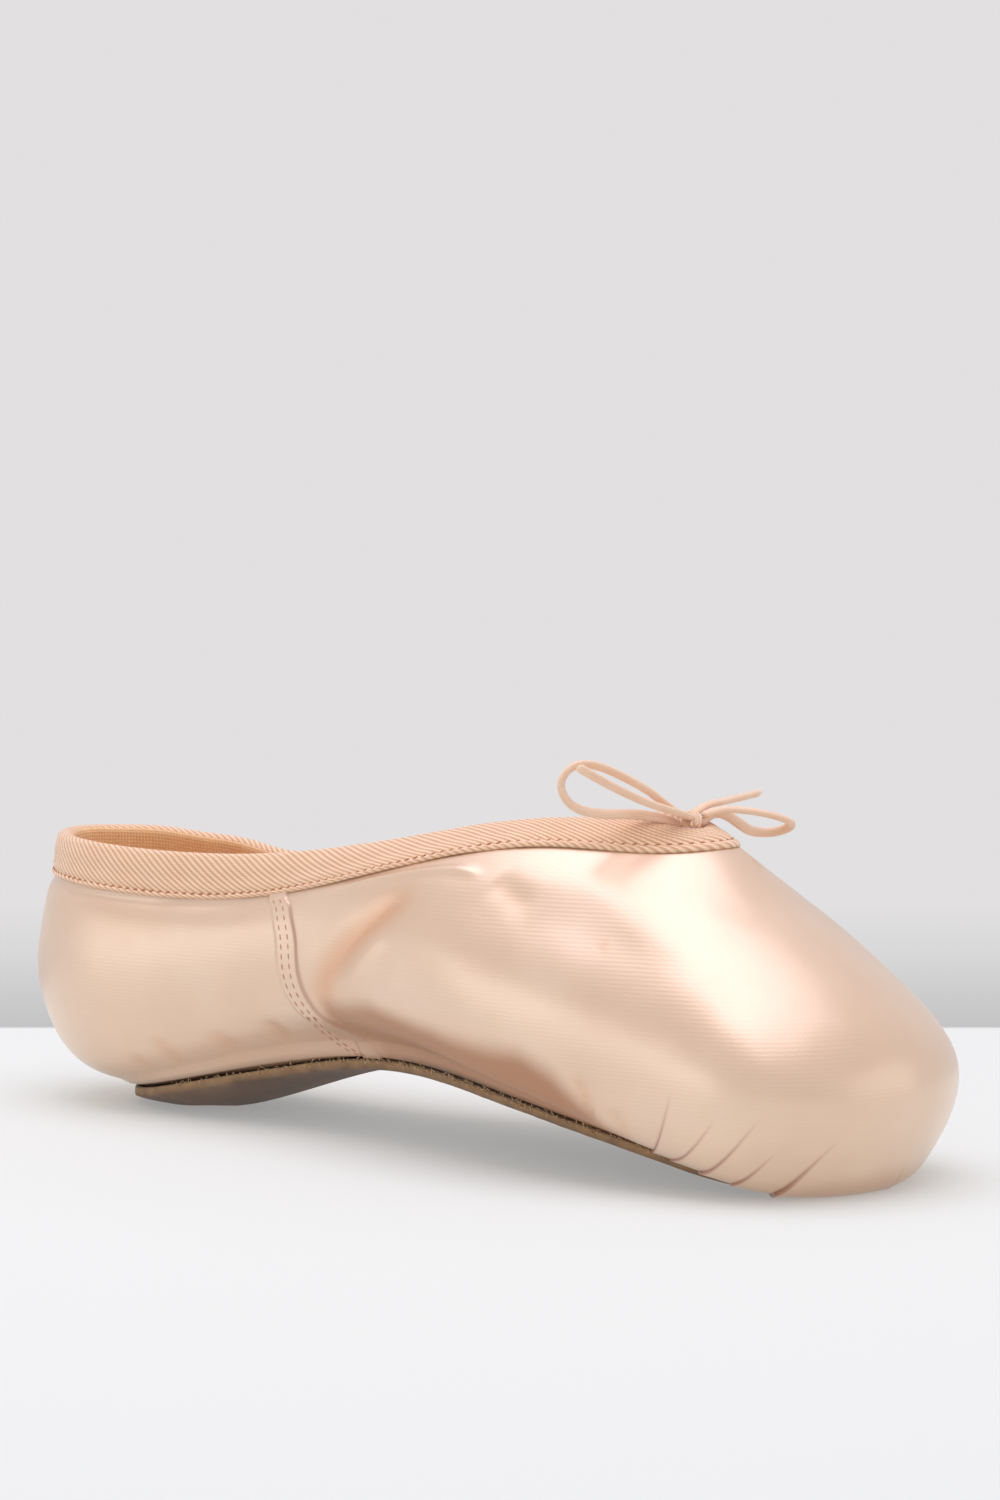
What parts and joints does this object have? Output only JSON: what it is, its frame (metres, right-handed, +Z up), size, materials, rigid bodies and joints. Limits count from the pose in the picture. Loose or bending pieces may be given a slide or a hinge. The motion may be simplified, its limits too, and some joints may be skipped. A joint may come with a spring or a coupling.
{
  "type": "pointe shoe",
  "caption": "Satin pointe shoe with a stiff toe box, open collar bound in tape, arched leather sole and a drawstring tied in a bow.",
  "frame": {"origin": "on the floor, under the middle of the shoe's box without the drawstring's bow", "axes": "+X from heel to toe, +Z up from the floor"},
  "size_m": [0.2361, 0.0794, 0.0846],
  "materials": {
    "satin": "glossy satin weave",
    "tape": "matt twill tape",
    "sole_leather": "matt brown leather",
    "insole_cloth": "matt cotton",
    "cord": "matt woven cord"
  },
  "bodies": {
    "root": {"upper": "satin", "binding": "tape", "outsole": "sole_leather", "insole": "insole_cloth", "bow_knot": "cord", "left_loop": "cord", "right_loop": "cord", "left_end": "cord", "right_end": "cord"}
  },
  "joints": []
}
